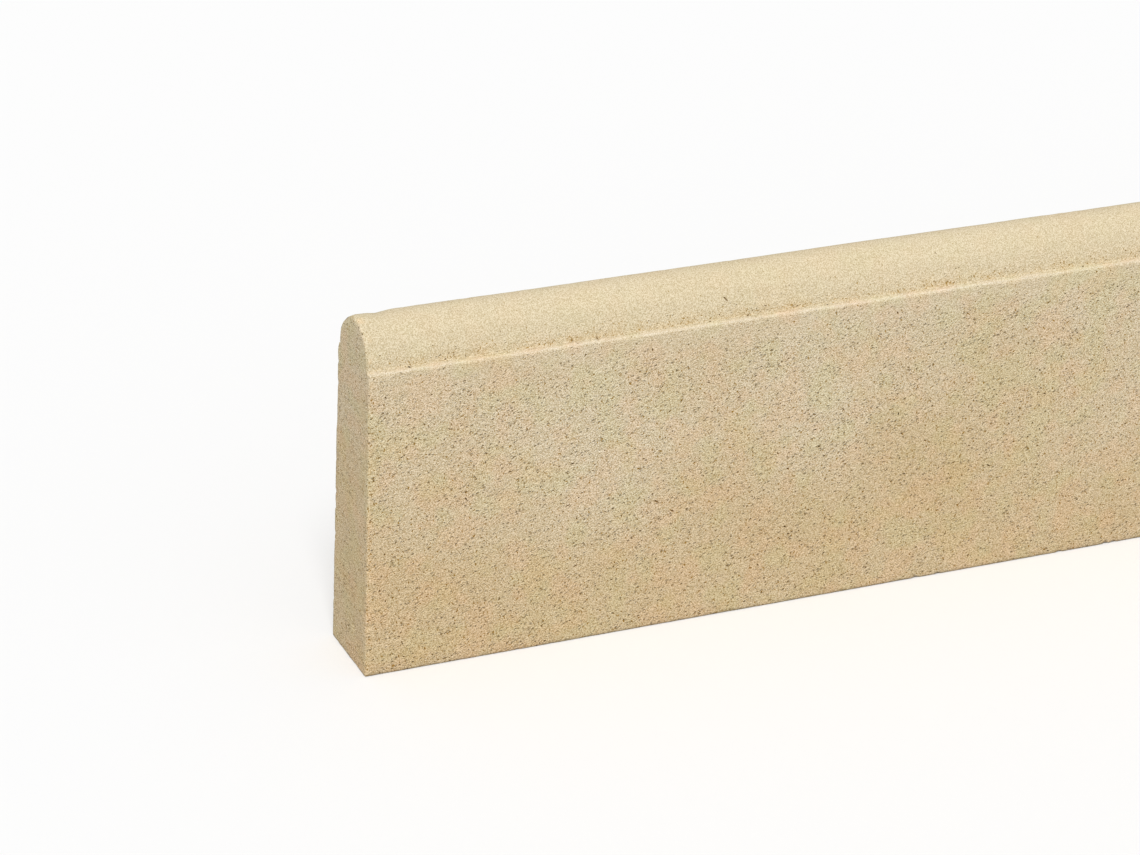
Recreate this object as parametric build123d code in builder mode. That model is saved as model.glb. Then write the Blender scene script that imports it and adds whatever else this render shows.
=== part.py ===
"""Concrete kerb stone: a straight garden edging with a half-round head, dry-pressed in one piece.

X runs along the kerb, Y across it and Z up. The origin is on the bed, under the middle of the stone.
All sizes are in millimetres.
"""

import os

from build123d import *

# Overall sizes of the stone
length = 1000.0
height = 200.0
base_thickness = 50.0

# Each long face leans in by this much from the foot to the shoulder, so that the mould strips upwards
face_draft = 2.0

# The rim of the press shoe leaves a narrow flat along each side, and a short upright neck above it
shoulder_width = 3.0
neck_height = 3.0

# Eased edges: along the foot, along the shoulder, in the corner under the neck, and round both ends
foot_arris = 1.5
shoulder_arris = 1.2
neck_root = 0.8
end_arris = 0.8

# The head is a full half-round that springs from the neck
half_base = base_thickness / 2
half_shoulder = half_base - face_draft
head_radius = half_shoulder - shoulder_width
spring_height = height - head_radius
shoulder_height = spring_height - neck_height

# Corners of one side of the section, from the foot up to the spring of the head
foot = (half_base, 0)
shoulder_edge = (half_shoulder, shoulder_height)
neck_corner = (head_radius, shoulder_height)
spring = (head_radius, spring_height)
half_turn = 180


# The stone: one section, pressed along the whole length
with BuildPart() as kerb_stone:
    with BuildSketch(Plane.YZ) as section:
        with BuildLine():
            Polyline(foot, shoulder_edge, neck_corner, spring)
            mirror(about=Plane.YZ)
            CenterArc((0, spring_height), head_radius, 0, half_turn)
            Line((-half_base, 0), foot)
        make_face()

        # The foot's two corners are the lowest, and the shoulders lie just under the spring of the head
        fillet(section.vertices().group_by(Axis.Y)[0], foot_arris)
        shoulder_corners = section.vertices().group_by(Axis.Y)[-2].sort_by(Axis.X)
        fillet([shoulder_corners[0], shoulder_corners[-1]], shoulder_arris)
        neck_corners = section.vertices().group_by(Axis.Y)[-2].sort_by(Axis.X)[1:-1]
        fillet(neck_corners, neck_root)
    extrude(amount=length / 2, both=True)

    # Both ends are eased all the way round the section
    end_faces = kerb_stone.faces().filter_by(Axis.X)
    fillet(end_faces.edges(), end_arris)

kerb_stone.part.label = "kerb_stone"

os.makedirs("parts", exist_ok=True)
export_step(kerb_stone.part, "parts/kerb_stone.step")
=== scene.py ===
"""A concrete kerb stone with its blowholes and worn arrises, on a pale studio floor.

X runs along the kerb, Y across it and Z up, in metres. The camera stands where the photograph was taken.
"""

import math

import bpy
import numpy as np
from mathutils import Matrix, Vector, noise
from mathutils.geometry import delaunay_2d_cdt


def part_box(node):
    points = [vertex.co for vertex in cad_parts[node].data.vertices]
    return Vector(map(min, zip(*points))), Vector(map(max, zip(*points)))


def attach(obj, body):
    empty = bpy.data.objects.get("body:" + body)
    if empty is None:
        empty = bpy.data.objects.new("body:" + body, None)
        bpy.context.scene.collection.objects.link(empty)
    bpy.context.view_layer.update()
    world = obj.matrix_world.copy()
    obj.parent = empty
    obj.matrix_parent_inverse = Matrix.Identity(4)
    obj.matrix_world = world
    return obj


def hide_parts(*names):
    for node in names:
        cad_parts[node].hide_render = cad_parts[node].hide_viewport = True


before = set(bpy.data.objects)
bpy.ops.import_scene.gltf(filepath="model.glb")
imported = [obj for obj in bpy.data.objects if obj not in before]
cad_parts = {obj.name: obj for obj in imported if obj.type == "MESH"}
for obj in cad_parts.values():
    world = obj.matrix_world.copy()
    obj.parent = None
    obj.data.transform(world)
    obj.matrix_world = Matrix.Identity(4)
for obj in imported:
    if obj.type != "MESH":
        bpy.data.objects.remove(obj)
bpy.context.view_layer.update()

# The stone: a garden edging of sand-coloured concrete, pressed in a steel mould as one solid piece.
# Its skin is laid out flat, by runs along the stone and round its section, and folded shut at both ends.
# Blowholes, waves and worn arrises are what the press, the stripping of the mould and the handling leave.
mm = 0.001
cm2 = 1e-4
low, high = (Vector(corner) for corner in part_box("kerb_stone"))
base_thickness = 50 * mm
face_draft = 2 * mm
shoulder_width = 3 * mm
neck_height = 3 * mm
foot_arris = 1.5 * mm
shoulder_arris = 0.9 * mm
neck_root = 0.8 * mm
end_arris = 0.8 * mm

half_base = base_thickness / 2
half_shoulder = half_base - face_draft
head_radius = half_shoulder - shoulder_width
spring_height = high.z - head_radius
shoulder_height = spring_height - neck_height


def eased(corners, radii):
    """A line through the corners, with each inner corner rounded by its radius."""
    corners = np.array(corners)
    points = [corners[0]]
    for before, corner, after, radius in zip(corners, corners[1:], corners[2:], radii):
        back = (before - corner) / np.linalg.norm(before - corner)
        on = (after - corner) / np.linalg.norm(after - corner)
        start = radius / math.tan(math.acos(back @ on) / 2)
        points += [corner + start * ((1 - t) ** 2 * back + t**2 * on) for t in np.linspace(0, 1, 9)]
    return np.array(points + [corners[-1]])


def run_of(points):
    """The distance along a line to each of its points."""
    return np.concatenate([[0], np.cumsum(np.linalg.norm(np.diff(points, axis=0), axis=1))])


# The section, from the middle of the bed round over the crown and back, and its outward normals
turn = np.linspace(0, math.pi / 2, 33)
head = np.stack([head_radius * np.cos(turn), spring_height + head_radius * np.sin(turn)], axis=1)
flank = eased(
    [(0, 0), (half_base, 0), (half_shoulder, shoulder_height), (head_radius, shoulder_height), head[0]],
    [foot_arris, shoulder_arris, neck_root],
)
half_section = np.concatenate([flank, head[1:]])
section = np.concatenate([half_section, half_section[-2::-1] * (-1, 1)])
section_run = run_of(section)
girth = section_run[-1]
heading = np.gradient(section, section_run, axis=0)
outward = np.stack([heading[:, 1], -heading[:, 0]], axis=1)

# The way along the stone: from the middle of the left end over its arris to the middle of the right end.
# Beside the place along the stone it gives the inset, by which the section has closed in on its middle line.
most_inset = half_shoulder
fold_low, fold_high = 12 * mm, 188 * mm
way = eased([(low.x, most_inset), (low.x, 0), (high.x, 0), (high.x, most_inset)], [end_arris, end_arris])
way_run = run_of(way)
reach = way_run[-1]


def surface(along, around):
    """Places on the smooth stone, for runs along it and round it."""
    x = np.interp(along, way_run, way[:, 0])
    inset = np.interp(along, way_run, way[:, 1])[:, None]
    around = around % girth
    rim = np.stack([np.interp(around, section_run, column) for column in section.T], axis=1)
    facing = np.stack([np.interp(around, section_run, column) for column in outward.T], axis=1)
    rim = rim - facing * np.minimum(inset, end_arris)
    climb = np.minimum(around, girth - around) / (girth / 2)
    fold = np.stack([np.zeros(len(climb)), fold_low + (fold_high - fold_low) * climb], axis=1)
    rim = rim + (fold - rim) * (inset - end_arris).clip(0) / (most_inset - end_arris)
    return np.column_stack([x, rim])


# Where the arrises run: along the stone at the foot and the shoulder, and round both ends.
# Close rows of points follow them, and the ledge of the shoulder up to the neck.
foot_run = half_base - foot_arris / 2
shoulder_run = half_base + math.hypot(face_draft, shoulder_height) - foot_arris / 2 - shoulder_arris / 2
neck_run = shoulder_run + shoulder_width - shoulder_arris / 2
head_run = neck_run + neck_height
foot_rows = foot_run + np.array([-2.2, -1.2, -0.6, 0, 0.6, 1.2, 2.2]) * mm
edge_rows = [-2.4, -1.1, -0.7, -0.25, 0.25, 0.7, 1.1]
ledge_rows = [1.9, 2.3, 2.7, 3.1, 3.6, 4.8]
shoulder_rows = shoulder_run + np.array(edge_rows + ledge_rows) * mm
long_rows = np.concatenate([foot_rows, shoulder_rows])
long_rows = np.concatenate([long_rows, girth - long_rows])
end_rows = np.array([-2.4, -1.3, -0.6, 0, 0.6, 1.3, 2.4]) * mm
end_rows = np.concatenate([most_inset + end_rows, reach - most_inset - end_rows])
arrises = np.array([foot_run, shoulder_run])
arrises = np.concatenate([arrises, girth - arrises])
ends = np.array([most_inset, reach - most_inset])

# Blowholes: the faces have the most of them, and the bed, the band below the shoulder and the crown have few.
# Their number is for a square centimetre.
face_pores, bed_pores, end_pores = 1.5, 0.05, 0.7
neck_pores, crown_pores = 0.9, 0.06
pores_thin_out = 14 * mm
band_near, band_far = 4 * mm, 22 * mm
band_share = 0.12
foot_strip = 4 * mm


def pores(along, around):
    """How many blowholes there are to a square centimetre at a place on the skin."""
    around = np.minimum(around, girth - around)
    from_end = np.maximum(most_inset - along, along - reach + most_inset)
    below = shoulder_run - around
    up_head = around - head_run
    number = np.where(around > foot_run, face_pores, bed_pores)
    number = np.where(below > 0, number * np.interp(below, [band_near, band_far], [band_share, 1.0]), number)
    on_head = np.interp(up_head, [0, pores_thin_out], [neck_pores, crown_pores])
    number = np.where(up_head > 0, on_head, number)
    by_rim = (from_end < pores_thin_out) & (around > foot_run + foot_strip)
    return np.where(from_end > 0, np.where(by_rim, end_pores, 0.0), number)


rng = np.random.default_rng(20)
most_pores = 3.6
least_width, width_spread = 0.28, 0.42
slit_share, slit_stretch = 0.12, (1.6, 3.2)
patch_size, patch_contrast = 30 * mm, 1.8
arris_clearance, border_clearance = 0.6 * mm, 3 * mm
tries = int(most_pores * reach * girth / cm2)
spot = rng.uniform((0, 0), (reach, girth), (tries, 2))
wide = (least_width + width_spread * rng.beta(1.0, 3.0, tries)) * mm
long = wide * (1 + 0.8 * rng.beta(1.0, 2.0, tries))
long *= np.where(rng.uniform(size=tries) < slit_share, rng.uniform(*slit_stretch, tries), 1.0)
patch = np.array([noise.noise(Vector((*(p / patch_size), 3.1))) for p in spot])
keep = rng.uniform(0, most_pores, tries) < pores(*spot.T) * (1 + patch_contrast * patch).clip(0.1)
from_arris = np.minimum(abs(spot[:, 1, None] - arrises).min(axis=1), abs(spot[:, 0, None] - ends).min(axis=1))
from_border = np.minimum(spot, (reach, girth) - spot).min(axis=1)
keep &= (from_arris > long + arris_clearance) & (from_border > border_clearance)
order = np.flatnonzero(keep)[np.argsort(-long[keep])]
spot, wide, long = spot[order], wide[order], long[order]

# The longest are set first, and one that would run into another is left out
cell = 0.4 * mm
spare_cells = 16
pit_room = 1.3
taken = np.zeros((int(reach / cell) + spare_cells, int(girth / cell) + spare_cells), bool)


def around_pit(place, span):
    """The cells of the laid-out skin within this span of a place."""
    i, j = (place / cell).astype(int)
    count = int(span / cell) + 1
    return taken[max(i - count, 0) : i + count + 1, max(j - count, 0) : j + count + 1]


kept = []
for index, (place, length) in enumerate(zip(spot, long)):
    window = around_pit(place, length * pit_room)
    if not window.any():
        window[:] = True
        kept.append(index)
spot, wide, long = spot[kept], wide[kept], long[kept]

# Each blowhole is an uneven ring of points at its rim, a smaller ring near its floor and its deepest point
small_pit, middling_pit = 0.7 * mm, 1.2 * mm
floor_share = 0.72
pit_points = []
pit_sunk = []
pit_rims = []
pit_first = 0
for place, width, length in zip(spot, wide, long):
    sides = 6 if length < small_pit else 8 if length < middling_pit else 12
    lean = rng.normal(0.25, 0.6)
    depth = width * rng.uniform(1.3, 2.2)
    angles = (np.arange(sides) + rng.uniform(-0.25, 0.25, sides)) * 2 * math.pi / sides
    wobble = rng.uniform(0.75, 1.2, sides)
    swing = np.array([[math.cos(lean), math.sin(lean)], [-math.sin(lean), math.cos(lean)]])
    outline = np.stack([np.cos(angles) * length, np.sin(angles) * width], axis=1) * wobble[:, None] @ swing
    floor_ring = outline[::2] * floor_share + rng.uniform(-0.08, 0.08, outline[::2].shape) * width
    deepest = rng.uniform(-0.15, 0.15, (1, 2)) * width
    pit_points += [place + outline, place + floor_ring, place + deepest]
    pit_sunk += [np.zeros(sides), depth * rng.uniform(0.7, 0.95, len(floor_ring)), np.array([depth])]
    pit_rims += [(pit_first + k, pit_first + (k + 1) % sides) for k in range(sides)]
    pit_first += sides + len(floor_ring) + 1
pit_points = np.concatenate(pit_points)
pit_sunk = np.concatenate(pit_sunk)

# Close rows of points along the arrises, and wider ones over the faces
arris_step = 1.8 * mm
row_start = 2 * mm
rows = []
for k, row in enumerate(long_rows):
    stations = np.arange(row_start + (k % 2) * arris_step / 2, reach - row_start, arris_step)
    rows.append(np.column_stack([stations, np.full(len(stations), row)]))
for k, row in enumerate(end_rows):
    stations = np.arange(row_start + (k % 2) * arris_step / 2, girth - row_start, arris_step)
    rows.append(np.column_stack([np.full(len(stations), row), stations]))
arris_points = np.concatenate(rows)
close = 0.4 * mm
_, lone = np.unique(np.round(arris_points / close), axis=0, return_index=True)
arris_points = arris_points[np.sort(lone)]

face_step = 5.6 * mm
margin = 1.5 * mm
row_clearance = 1.6 * mm
grid = [np.arange(margin + face_step / 2, side - margin, face_step) for side in (reach, girth)]
face_points = np.stack(np.meshgrid(*grid, indexing="ij"), axis=2).reshape(-1, 2)
face_points += rng.uniform(-0.3, 0.3, face_points.shape) * face_step
face_points = face_points.clip(margin, np.array([reach, girth]) - margin)
from_rows = np.minimum(
    abs(face_points[:, 1, None] - long_rows).min(axis=1),
    abs(face_points[:, 0, None] - end_rows).min(axis=1),
)
face_points = face_points[from_rows > row_clearance]

# No plain point stands in a blowhole
plain = np.concatenate([arris_points, face_points])
taken[:] = False
for place, length in zip(spot, long):
    around_pit(place, length * pit_room)[:] = True
plain = plain[~taken[tuple((plain / cell).astype(int).T)]]

# The borders of the laid-out skin: the long ones meet along the middle of the bed, the end ones fold shut
seam = np.linspace(0, reach, round(reach / face_step) + 1)
fold = np.linspace(0, girth, 2 * round(girth / face_step / 2) + 1)[1:-1]
borders = [
    np.column_stack([seam, np.zeros(len(seam))]),
    np.column_stack([seam, np.full(len(seam), girth)]),
    np.column_stack([np.zeros(len(fold)), fold]),
    np.column_stack([np.full(len(fold), reach), fold]),
]
layout = np.concatenate([*borders, plain, pit_points])
first_pit_point = len(layout) - len(pit_points)
sunk = np.concatenate([np.zeros(first_pit_point), pit_sunk])
welded = np.arange(len(layout))
welded[len(seam) : 2 * len(seam)] = welded[: len(seam)]
for fold_start in (2 * len(seam), 2 * len(seam) + len(fold)):
    row = welded[fold_start : fold_start + len(fold)]
    row[len(fold) // 2 + 1 :] = row[: len(fold) // 2][::-1]

rim_edges = (np.array(pit_rims) + first_pit_point).tolist()
laid = delaunay_2d_cdt([Vector(p) for p in layout / mm], rim_edges, [], 0, 1e-7, True)
faces = np.array(laid[2])[:, ::-1]

# Where the folded ends meet the seam, two triangles can fall on each other, and both are left out
_, twin, count = np.unique(np.sort(welded[faces], axis=1), axis=0, return_inverse=True, return_counts=True)
faces = faces[count[twin.ravel()] == 1]

# The smooth skin and its normals. Where the arris of an end crosses the corner of the shoulder, a normal can
# come out turned inwards, and is turned back.
nudge = 0.05 * mm
skin = surface(*layout.T)
lengthwise = surface(layout[:, 0] + nudge, layout[:, 1]) - surface(layout[:, 0] - nudge, layout[:, 1])
crosswise = surface(layout[:, 0], layout[:, 1] + nudge) - surface(layout[:, 0], layout[:, 1] - nudge)
normal = np.cross(crosswise, lengthwise)
normal /= np.linalg.norm(normal, axis=1)[:, None].clip(1e-12)
turned = normal[:, 0] * skin[:, 0] < -0.01 * high.x
normal[turned] *= -1


def ripple(points, size, seed):
    """Smooth noise from -1 to 1 at each point, with waves of about this size."""
    return np.array([noise.noise(Vector(p)) for p in points / size + seed])


def hump(distance, width):
    """1 in the middle, falling off smoothly to both sides over about this width."""
    return np.exp(-((distance / width) ** 2))


# The relief: shallow waves in the faces, and arrises worn back unevenly, the shoulder's least
wave_height, wave_size = 0.2 * mm, 90 * mm
swell_height, swell_size = 0.06 * mm, 22 * mm
nick_size, notch_size, notch_share = 9 * mm, 3.6 * mm, 0.6
even_wear, nick_wear = 0.05, 0.24
arris_reach = 1.6 * mm
shoulder_strip, end_strip, shoulder_share = 3 * mm, 5 * mm, 0.4
waves = wave_height * ripple(skin, wave_size, 11.3) + swell_height * ripple(skin, swell_size, 5.7)
off_each = abs(layout[:, 1, None] - arrises)
off_shoulder = off_each[:, 1::2].min(axis=1)
off_end = abs(layout[:, 0, None] - ends).min(axis=1)
off_arris = np.minimum(off_each.min(axis=1), off_end)
nick = (ripple(skin, nick_size, 2.2) + notch_share * ripple(skin, notch_size, 8.9)).clip(-0.2)
wear = hump(off_arris, arris_reach) * (even_wear + nick_wear * nick) * mm
wear *= np.where((off_shoulder < shoulder_strip) & (off_end > end_strip), shoulder_share, 1.0)

# Chips that handling has knocked off the arrises
chip_count = 90
chip_depth = 0.28
on_arris = 0.05 * mm
chipped = rng.choice(np.flatnonzero(off_arris < on_arris), chip_count, replace=False)
for place, radius in zip(skin[chipped], rng.uniform(1.0, 2.6, chip_count) * mm):
    apart = np.linalg.norm(skin - place, axis=1)
    wear = np.maximum(wear, chip_depth * radius * (1 - (apart / radius) ** 2))

# The left end is worn most: its crown has a dip, its rear arris is rubbed down round the head and at the
# shoulder, and a flake is off that arris below the shoulder
crown_dip, rear_rub, corner_rub, flake_depth = 1.1 * mm, 1.2 * mm, 0.8 * mm, 0.2 * mm
flake_from = 127 * mm
from_left = layout[:, 0] - ends[0]
from_crown = layout[:, 1] - girth / 2
from_shoulder = layout[:, 1] - shoulder_run
wear += crown_dip * hump(from_left - 15 * mm, 5.5 * mm) * hump(from_crown + 6 * mm, 13 * mm)
wear += rear_rub * hump(from_left, 3 * mm) * hump(from_crown + 13 * mm, 8 * mm)
flake_rise = ((layout[:, 1] - foot_run - flake_from) / (1.5 * mm)).clip(0, 1)
flake_fall = (-from_shoulder / (12 * mm)).clip(0, 1)
wear += flake_depth * flake_rise * flake_fall * hump(from_left, 2 * mm)
wear += corner_rub * hump(from_left, 3 * mm) * hump(from_shoulder, 2.5 * mm)
skin = skin + normal * (waves - wear - sunk)[:, None]
skin[:, 2] = skin[:, 2].clip(0)

# The mesh, smooth apart from the broken walls of the blowholes
kept_points, face_corners = np.unique(welded[faces], return_inverse=True)
stone_mesh = bpy.data.meshes.new("kerb_stone_cast")
stone_mesh.from_pydata(skin[kept_points].tolist(), [], face_corners.reshape(-1, 3).tolist(), shade_flat=False)
broken = (sunk[faces] > 0).any(axis=1)
stone_mesh.polygons.foreach_set("use_smooth", ~broken)
face_edges = np.empty(faces.size, np.int32)
stone_mesh.loops.foreach_get("edge_index", face_edges)
sharp = np.zeros(len(stone_mesh.edges), bool)
sharp[face_edges.reshape(-1, 3)[broken]] = True
stone_mesh.edges.foreach_set("use_edge_sharp", sharp)
unwrap = stone_mesh.uv_layers.new(name="OFBake")
unwrap.data.foreach_set("uv", (layout[faces.ravel()] / (reach, girth)).astype(np.float32).ravel())
pit_depth = stone_mesh.attributes.new("pit", "FLOAT", "POINT")
pit_depth.data.foreach_set("value", (sunk / mm)[kept_points].astype(np.float32))
stone_mesh.validate()
stone = bpy.data.objects.new("kerb_stone_cast", stone_mesh)
bpy.context.scene.collection.objects.link(stone)


class Link:
    """An output socket of a material's nodes. Arithmetic on links adds Math nodes."""

    def __init__(self, tree, socket=None):
        self.tree = tree
        self.socket = socket

    def node(self, kind, settings, sockets, output=None):
        """Adds a node: its settings come first, then the values or links of its sockets."""
        node = self.tree.nodes.new(kind)
        for name, value in settings.items():
            setattr(node, name, value)
        for name, value in sockets.items():
            socket = next(s for s in node.inputs if name in (s.identifier, s.name))
            if isinstance(value, Link):
                self.tree.links.new(value.socket, socket)
            else:
                socket.default_value = value
        found = [s for s in node.outputs if output in (None, s.identifier, s.name)]
        return Link(self.tree, found[0] if found else None)

    def output(self, name):
        """Another output of the same node."""
        return Link(self.tree, self.socket.node.outputs[name])

    def math(self, operation, first, second=0.0):
        """A Math node on two numbers or links."""
        return self.node("ShaderNodeMath", {"operation": operation}, {"Value": first, "Value_001": second})

    def __add__(self, other):
        return self.math("ADD", self, other)

    def __radd__(self, other):
        return self.math("ADD", other, self)

    def __sub__(self, other):
        return self.math("SUBTRACT", self, other)

    def __rsub__(self, other):
        return self.math("SUBTRACT", other, self)

    def __mul__(self, other):
        return self.math("MULTIPLY", self, other)

    def __rmul__(self, other):
        return self.math("MULTIPLY", other, self)

    def step(self, start, end):
        """0 below start and 1 above end, with a smooth rise between them. Either may be a link too."""
        settings = {"interpolation_type": "SMOOTHSTEP"}
        return self.node("ShaderNodeMapRange", settings, {"Value": self, "From Min": start, "From Max": end})

    def blend(self, first, second):
        """The first colour where this link is 0, and the second where it is 1."""
        sockets = {"Factor_Float": self, "A_Color": first, "B_Color": second}
        return self.node("ShaderNodeMix", {"data_type": "RGBA"}, sockets, "Result_Color")

    def times(self, other):
        """This colour or vector times another one, channel by channel."""
        sockets = {"Vector": self, "Vector_001": other}
        return self.node("ShaderNodeVectorMath", {"operation": "MULTIPLY"}, sockets, "Vector")

    def tinted(self, share, tint):
        """This colour, times the tint where the share is 1, and left as it is where the share is 0."""
        return self.times(share.blend((1.0, 1.0, 1.0, 1.0), tint))


def colour(red, green, blue):
    """An 8-bit screen colour as the linear colour that a shader takes."""
    return (*(((c / 255 + 0.055) / 1.055) ** 2.4 for c in (red, green, blue)), 1.0)


concrete = bpy.data.materials.new("sand_concrete")
concrete.use_nodes = True
concrete.node_tree.nodes.clear()
mix = Link(concrete.node_tree)
where = mix.node("ShaderNodeTexCoord", {}, {}, "Object")
x = mix.node("ShaderNodeSeparateXYZ", {}, {"Vector": where}, "X")
y = x.output("Y")
z = x.output("Z")
pit = mix.node("ShaderNodeAttribute", {"attribute_name": "pit"}, {}, "Fac")


def speckle(size, seed, detail=1.0, at=where):
    """Noise from 0 to 1, most of it from 0.35 to 0.65, with spots of about this size."""
    sockets = {"Vector": at, "W": seed, "Scale": 1 / size, "Detail": detail}
    return mix.node("ShaderNodeTexNoise", {"noise_dimensions": "4D"}, sockets, "Fac")


# Zones: the ends and the strips along their arrises, the head, its crown and top, the foot of the neck,
# the ledge of the shoulder with its inner corner, where shade is painted, and the smoother band of the face
# below it
from_middle = mix.math("ABSOLUTE", x)
from_axis = mix.math("ABSOLUTE", y)
above = z - shoulder_height
on_end = from_middle.step(high.x - 0.8 * mm, high.x - 0.2 * mm)
off_the_end = 1 - on_end
by_end = from_middle.step(high.x - 6 * mm, high.x - 1 * mm) * off_the_end
on_head = above.step(0.3 * mm, 1.1 * mm) * off_the_end
crown = above.step(3 * mm, 15 * mm) * off_the_end
top = above.step(20.5 * mm, 23 * mm) * off_the_end
neck_foot = on_head * (1 - above.step(1.5 * mm, 10 * mm))
ledge = above.step(-0.9 * mm, -0.2 * mm) * (1 - on_head) * off_the_end
ledge_corner_shade = ledge * (1 - from_axis.step(head_radius - 0.2 * mm, head_radius + 1.3 * mm))
band = above.step(-22 * mm, -3 * mm) * (1 - on_head) * off_the_end
smooth = mix.math("MINIMUM", 0.65 * on_head + 0.35 * crown + 0.5 * band + ledge, 1.0)

# Sand and cement: a cream body, warmer and darker towards the foot, paler on the head and rubbed warm along
# the ends
drift = speckle(140 * mm, 9.0)
rubbed = speckle(8 * mm, 8.0, detail=2.0).step(0.44, 0.60)
foot_warmth = 1 - (z + 0.25 * (drift - 0.5)).step(40 * mm, 185 * mm)
face_cream, foot_tan = colour(222, 206, 175), colour(216, 194, 156)
body = foot_warmth.blend(face_cream, foot_tan)
washes = (
    (0.75 * on_head, colour(222, 206, 172)),
    (0.75 * crown, colour(205, 191, 160)),
    (0.75 * top, colour(213, 198, 167)),
    (0.30 * neck_foot * rubbed, colour(222, 196, 150)),
    (0.90 * ledge, colour(215, 203, 180)),
    # Painted shade in the inner corner of the ledge, at the root of the neck
    (0.80 * ledge_corner_shade, colour(196, 180, 147)),
    (0.45 * by_end * rubbed, colour(230, 200, 158)),
    (0.50 * on_end, colour(210, 191, 157)),
)
for share, tone in washes:
    body = share.blend(body, tone)

# Faint clouds in it: peach, greenish and warm, and fewer of them on the head
cloudy = 0.5 - 0.35 * on_head
clouds = (
    (cloudy * speckle(15 * mm, 1.0).step(0.46, 0.64), (1.07, 0.96, 0.92, 1.0)),
    (cloudy * speckle(18 * mm, 7.0).step(0.46, 0.66), (0.95, 1.01, 0.89, 1.0)),
    (2 * cloudy * speckle(45 * mm, 6.0).step(0.40, 0.64), (0.985, 0.965, 0.93, 1.0)),
)
for share, tint in clouds:
    body = body.tinted(share, tint)

# Sand grains lie packed side by side, some pale and some brown, and fine pores are open between them.
# Their pattern is turned askew, so that no row of it runs along a face.
askew = mix.node("ShaderNodeVectorRotate", {"rotation_type": "EULER_XYZ"}, {
    "Vector": where,
    "Rotation": (0.6, 0.5, 0.4),
}, "Vector")


def cells(place, size, swirl_size, pull):
    """The distance from the middle of uneven cells, which a fine swirl pulls out of shape."""
    swirl = mix.node("ShaderNodeTexNoise", {}, {
        "Vector": askew,
        "Scale": 1 / swirl_size,
        "Detail": 1.0,
    }, "Color")
    scaled = {"Vector": swirl, "Scale": pull}
    push = mix.node("ShaderNodeVectorMath", {"operation": "SCALE"}, scaled, "Vector")
    moved = {"Vector": place, "Vector_001": push}
    pulled = mix.node("ShaderNodeVectorMath", {"operation": "ADD"}, moved, "Vector")
    return mix.node("ShaderNodeTexVoronoi", {}, {"Vector": pulled, "Scale": 1 / size}, "Distance")


grain_size, sand_size = 0.95 * mm, 0.65 * mm
gap = cells(askew, grain_size, 0.9 * mm, 0.8 * mm)
sand = speckle(sand_size, 2.0, detail=0.0, at=askew)
pale = sand.step(0.25, 0.75)
brown_grain, pale_grain = (0.74, 0.69, 0.57, 1.0), (1.27, 1.31, 1.42, 1.0)
body = body.times((0.5 + (1 - 0.3 * smooth) * (pale - 0.5)).blend(brown_grain, pale_grain))
open_from = 0.765 + 0.14 * smooth - 0.05 * by_end - 0.20 * neck_foot * (0.5 + 0.5 * rubbed)
pore = gap.step(open_from, open_from + 0.08)
pore_rim = gap.step(open_from - 0.24, open_from - 0.06) * (1 - smooth)

# Small dents, drawn out a little along the face and bunched in patches, each with a paler lip
dent_size = 1.6 * mm
drawn = mix.node("ShaderNodeVectorRotate", {"rotation_type": "Y_AXIS"}, {
    "Vector": where,
    "Angle": 0.45,
}, "Vector")
dent = cells(drawn.times((0.7, 1.0, 1.0)), dent_size, 1.0 * mm, 1.15 * mm)
luck = mix.node("ShaderNodeSeparateColor", {}, {"Color": dent.output("Color")}, "Red")
deep = luck.step(0.3, 1.0)
bunched = speckle(16 * mm, 4.0, detail=2.0)
dent_reach = 0.18 + 0.45 * (bunched - 0.5) - 0.09 * smooth
hole = deep * (1 - dent.step(dent_reach - 0.10, dent_reach + 0.03))
dish = deep * (1 - dent.step(dent_reach - 0.12, dent_reach + 0.26))
lip = deep * (1 - dent.step(dent_reach + 0.10, dent_reach + 0.30)) * (1 - smooth)

# Lips and rims are paler than the body, and the hollows of the pores and dents are darkened brown by painted
# shade, those of the head less so
lip_tint = (1.12, 1.13, 1.16, 1.0)
face_hollow_shade, head_hollow_shade = (0.44, 0.30, 0.07, 1.0), (0.58, 0.46, 0.24, 1.0)
pit_shade_tint = (0.38, 0.26, 0.07, 1.0)
hollow_shade_tint = on_head.blend(face_hollow_shade, head_hollow_shade)
body = body.tinted(lip, lip_tint)
body = body.tinted(0.6 * pore_rim, lip_tint)
# Painted shade, brown, in the pores and in the holes of the dents
body = body.tinted(pore, hollow_shade_tint)
body = body.tinted(hole, hollow_shade_tint)
# Painted shade in the blowholes, darker the deeper their walls and floors lie
body = body.tinted(pit.step(0.1, 0.7) * (1 - 0.4 * on_head), pit_shade_tint)

grain_height, gap_depth, dent_depth = 0.4 * mm, 0.15 * mm, 1.05 * mm
grains = (sand - 0.5) * grain_height - gap * gap_depth
relief = (1 - 0.4 * smooth) * grains - (1 - 0.8 * smooth) * dish * dent_depth
bumped = mix.node("ShaderNodeBump", {}, {"Strength": 1.0, "Distance": 1.0, "Height": relief}, "Normal")
matt_stone = mix.node("ShaderNodeBsdfPrincipled", {}, {
    "Base Color": body,
    "Roughness": 0.92,
    "Specular IOR Level": 0.25,
    "Normal": bumped,
}, "BSDF")
mix.node("ShaderNodeOutputMaterial", {}, {"Surface": matt_stone})
stone_mesh.materials.append(concrete)

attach(stone, "root")
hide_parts("kerb_stone")

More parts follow.
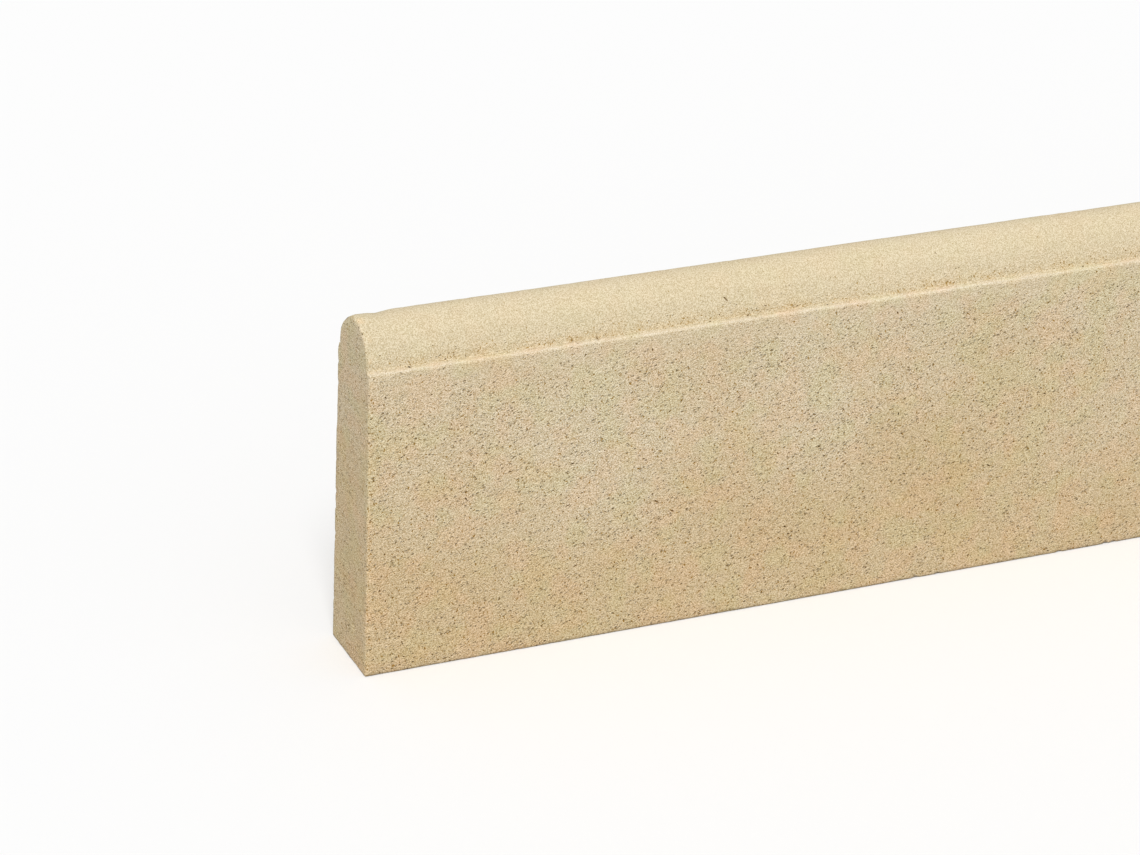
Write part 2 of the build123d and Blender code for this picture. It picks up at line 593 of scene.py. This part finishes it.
# The floor: a wide sheet of pale card that the stone stands on, there to take its shadow.
# It looks white to the camera, and throws back less light than it shows.
half_side = 6.0
floor_corners = [(-half_side, -half_side, 0), (half_side, -half_side, 0),
                 (half_side, half_side, 0), (-half_side, half_side, 0)]
floor_mesh = bpy.data.meshes.new("floor")
floor_mesh.from_pydata(floor_corners, [], [(0, 1, 2, 3)])
floor = bpy.data.objects.new("floor", floor_mesh)
bpy.context.scene.collection.objects.link(floor)
card = bpy.data.materials.new("pale_card")
card.use_nodes = True
card.node_tree.nodes.clear()
paint = Link(card.node_tree)


def shown(tree):
    """1 for what the camera sees, straight or in a reflection, and 0 for the light thrown on other things."""
    rays = ("Is Camera Ray", "Is Glossy Ray", "Is Transmission Ray")
    direct, mirrored, through = (tree.node("ShaderNodeLightPath", {}, {}, ray) for ray in rays)
    return tree.math("MINIMUM", direct + mirrored + through, 1.0)


card_thrown, card_shown = (0.46, 0.46, 0.46, 1.0), (0.87, 0.87, 0.87, 1.0)
card_colour = shown(paint).blend(card_thrown, card_shown)
lit_card = paint.node("ShaderNodeBsdfDiffuse", {}, {"Color": card_colour}, "BSDF")
paint.node("ShaderNodeOutputMaterial", {}, {"Surface": lit_card})
floor_mesh.materials.append(card)

# The light: an even room, and one wide soft lamp above, in front and to the left of the stone.
# The room looks white to the camera, and lights the stone at half of that.
room = bpy.data.worlds.new("room")
room.use_nodes = True
room.node_tree.nodes.clear()
air = Link(room.node_tree)
room_light, room_shown = (0.50, 0.50, 0.50, 1.0), (1.0, 1.0, 1.0, 1.0)
room_colour = shown(air).blend(room_light, room_shown)
wall = air.node("ShaderNodeBackground", {}, {"Color": room_colour, "Strength": 1.0}, "Background")
air.node("ShaderNodeOutputWorld", {}, {"Surface": wall})
bpy.context.scene.world = room

lamp_heading = Vector((0.24, 0.40, -0.63))
lamp_data = bpy.data.lights.new("soft_lamp", "SUN")
lamp_data.energy = 2.46
lamp_data.angle = math.radians(25)
lamp = bpy.data.objects.new("soft_lamp", lamp_data)
lamp.rotation_euler = lamp_heading.to_track_quat("-Z", "Y").to_euler()
bpy.context.scene.collection.objects.link(lamp)

# The camera: the photograph's place and lens, found from the stone's own edges in it.
# It stands about two metres from the left end and looks down on it.
camera_place = (-1.1766, -1.7381, 1.0477)
camera_yaw, camera_pitch, camera_roll = 24.775, 25.934, 2.432
camera_data = bpy.data.cameras.new("camera")
camera_data.sensor_width = 36.0
camera_data.lens = 124.96
camera = bpy.data.objects.new("camera", camera_data)
camera.matrix_world = (
    Matrix.Translation(camera_place)
    @ Matrix.Rotation(math.radians(-camera_yaw), 4, "Z")
    @ Matrix.Rotation(math.radians(90 - camera_pitch), 4, "X")
    @ Matrix.Rotation(math.radians(camera_roll), 4, "Z")
)
bpy.context.scene.collection.objects.link(camera)
bpy.context.scene.camera = camera
bpy.context.scene.view_settings.view_transform = "Standard"
